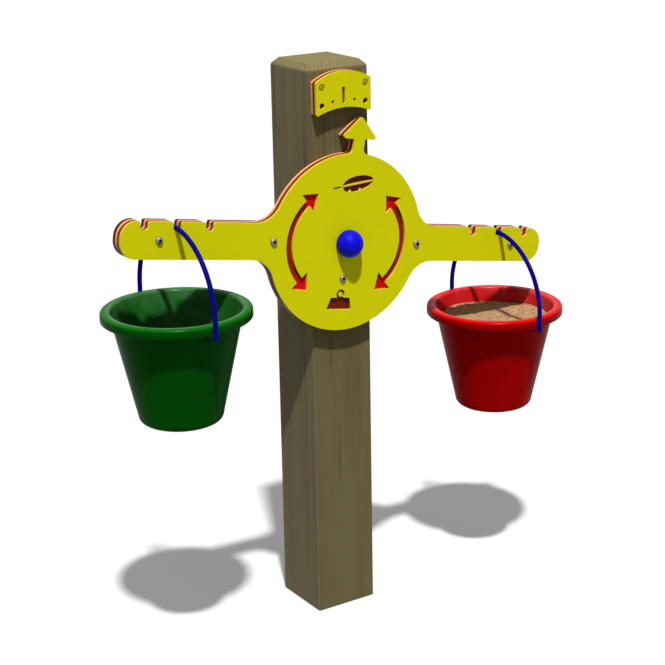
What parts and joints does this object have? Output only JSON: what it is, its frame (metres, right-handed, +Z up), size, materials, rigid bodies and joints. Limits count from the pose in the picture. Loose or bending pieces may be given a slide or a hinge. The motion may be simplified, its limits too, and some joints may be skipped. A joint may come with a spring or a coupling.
{
  "type": "bucket balance",
  "caption": "Playground bucket balance: a timber post carries a tipping yellow beam with a disc and a pointer, and a bucket on a blue bail hangs in a notch of each arm.",
  "frame": {"origin": "middle of the post's foot, on the ground", "axes": "+Z up the post, +X to the right as seen from the front, -Y towards the viewer in front of the scale"},
  "size_m": [0.9524, 0.3052, 1.046],
  "materials": {
    "timber": "sawn pressure-treated softwood, olive brown",
    "yellow_sheet": "two-colour polyethylene sheet, yellow skins on a red core, fine matt",
    "red_sheet": "dark red polyethylene sheet, fine matt",
    "blue_plastic": "moulded blue plastic, satin gloss",
    "green_plastic": "moulded green plastic, satin gloss",
    "red_plastic": "moulded red plastic, satin gloss",
    "steel": "zinc-plated steel fasteners",
    "bearing_plastic": "turned bearing plastic, natural white"
  },
  "bodies": {
    "stand": {"post": "timber", "scale_plate": "yellow_sheet", "scale_screw_left": "steel", "scale_screw_right": "steel", "screw_cap_left": "yellow_sheet", "screw_cap_right": "yellow_sheet", "pivot_bolt": "steel", "front_washer": "steel", "thrust_washer": "bearing_plastic", "rear_washer": "steel", "pivot_nut": "steel", "ball_cap": "blue_plastic", "rear_cap": "blue_plastic"},
    "beam": {"front_board": "yellow_sheet", "rear_board": "red_sheet", "pivot_bush": "bearing_plastic", "clamp_bolt_left_outer": "steel", "clamp_bolt_left_inner": "steel", "clamp_bolt_right_inner": "steel", "clamp_bolt_right_outer": "steel", "clamp_washer_left_outer": "steel", "clamp_washer_left_inner": "steel", "clamp_washer_right_inner": "steel", "clamp_washer_right_outer": "steel", "clamp_nut_left_outer": "steel", "clamp_nut_left_inner": "steel", "clamp_nut_right_inner": "steel", "clamp_nut_right_outer": "steel", "stop_bolt": "steel", "stop_nut": "steel"},
    "left_bail": {"bail_left": "blue_plastic"},
    "right_bail": {"bail_right": "blue_plastic"},
    "left_bucket": {"bucket_left": "green_plastic"},
    "right_bucket": {"bucket_right": "red_plastic"}
  },
  "joints": [
    {"name": "beam_tilt", "type": "hinge", "parent": "stand", "child": "beam", "pos_m": [0, -0.0692, 0.723], "axis": [0, 1, 0], "range_deg": [-19, 0]},
    {"name": "left_bail_swing", "type": "hinge", "parent": "beam", "child": "left_bail", "pos_m": [-0.34144, -0.0692, 0.80323], "axis": [0, 1, 0], "range_deg": [0, 19]},
    {"name": "right_bail_swing", "type": "hinge", "parent": "beam", "child": "right_bail", "pos_m": [0.34896, -0.0692, 0.68769], "axis": [0, 1, 0], "range_deg": [0, 19]},
    {"name": "left_bucket_swing", "type": "hinge", "parent": "left_bail", "child": "left_bucket", "pos_m": [-0.34144, -0.0692, 0.65123], "axis": [0, 1, 0], "range_deg": [-25, 25]},
    {"name": "right_bucket_swing", "type": "hinge", "parent": "right_bail", "child": "right_bucket", "pos_m": [0.34896, -0.0692, 0.53569], "axis": [0, 1, 0], "range_deg": [-25, 25]}
  ],
  "couplings": [
    {"joint": "left_bail_swing", "follows": "beam_tilt", "ratio": -1},
    {"joint": "right_bail_swing", "follows": "beam_tilt", "ratio": -1}
  ]
}
